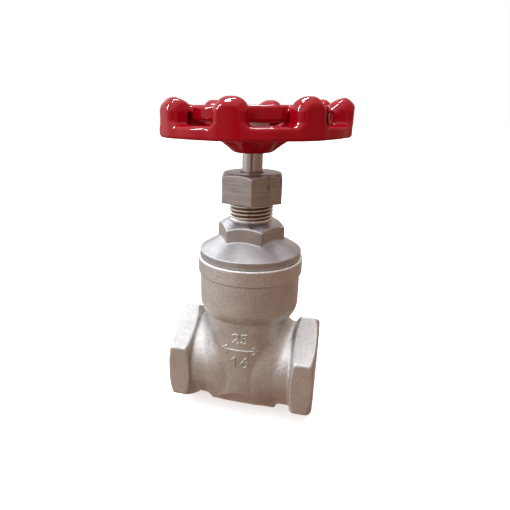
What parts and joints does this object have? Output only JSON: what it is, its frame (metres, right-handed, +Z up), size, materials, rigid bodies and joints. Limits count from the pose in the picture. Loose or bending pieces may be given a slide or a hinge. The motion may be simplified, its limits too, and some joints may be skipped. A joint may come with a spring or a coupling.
{
  "type": "gate valve",
  "caption": "Compact cast stainless gate valve with hexagonal female pipe-thread ends, screwed bonnet, packing nut and a red knuckled handwheel on a stem that turns without rising.",
  "frame": {"origin": "where the stem's axis crosses the pipe's axis, in the middle of the body", "axes": "+X along the pipe towards the outlet end, +Z up the stem to the handwheel, the cast marks face -Y"},
  "size_m": [0.0742, 0.0742, 0.1363],
  "materials": {
    "cast_stainless": "bead-blasted investment casting, satin",
    "machined_stainless": "turned, bright",
    "brushed_stainless": "linished flats with fine lines",
    "polished_stainless": "ground and polished bar",
    "ptfe": "smooth, waxy white",
    "red_enamel": "glossy deep red enamel",
    "aluminium_plate": "thin bright sheet",
    "zinc_steel": "bright zinc plate"
  },
  "bodies": {
    "valve_body": {"body": "cast_stainless", "bonnet": "cast_stainless", "bonnet_gasket": "ptfe", "lower_thrust_washer": "ptfe", "upper_thrust_washer": "ptfe", "packing_base_ring": "ptfe", "packing_vee_ring_1": "ptfe", "packing_vee_ring_2": "ptfe", "packing_vee_ring_3": "ptfe", "packing_top_ring": "ptfe", "gland_follower": "machined_stainless", "packing_nut": "brushed_stainless"},
    "stem": {"stem": "polished_stainless", "handwheel": "red_enamel", "id_plate": "aluminium_plate", "handwheel_washer": "zinc_steel", "handwheel_lock_washer": "zinc_steel", "handwheel_nut": "zinc_steel"},
    "gate": {"wedge": "cast_stainless"}
  },
  "joints": [
    {"name": "stem_turn", "type": "hinge", "parent": "valve_body", "child": "stem", "pos_m": [0, 0, 0.1], "axis": [0, 0, 1], "range_deg": [0, 3300]},
    {"name": "wedge_lift", "type": "slide", "parent": "valve_body", "child": "gate", "axis": [0, 0, 1], "range_m": [0, 0.0276]}
  ],
  "couplings": [
    {"joint": "wedge_lift", "follows": "stem_turn", "m_per_rad": 0.00047746}
  ]
}
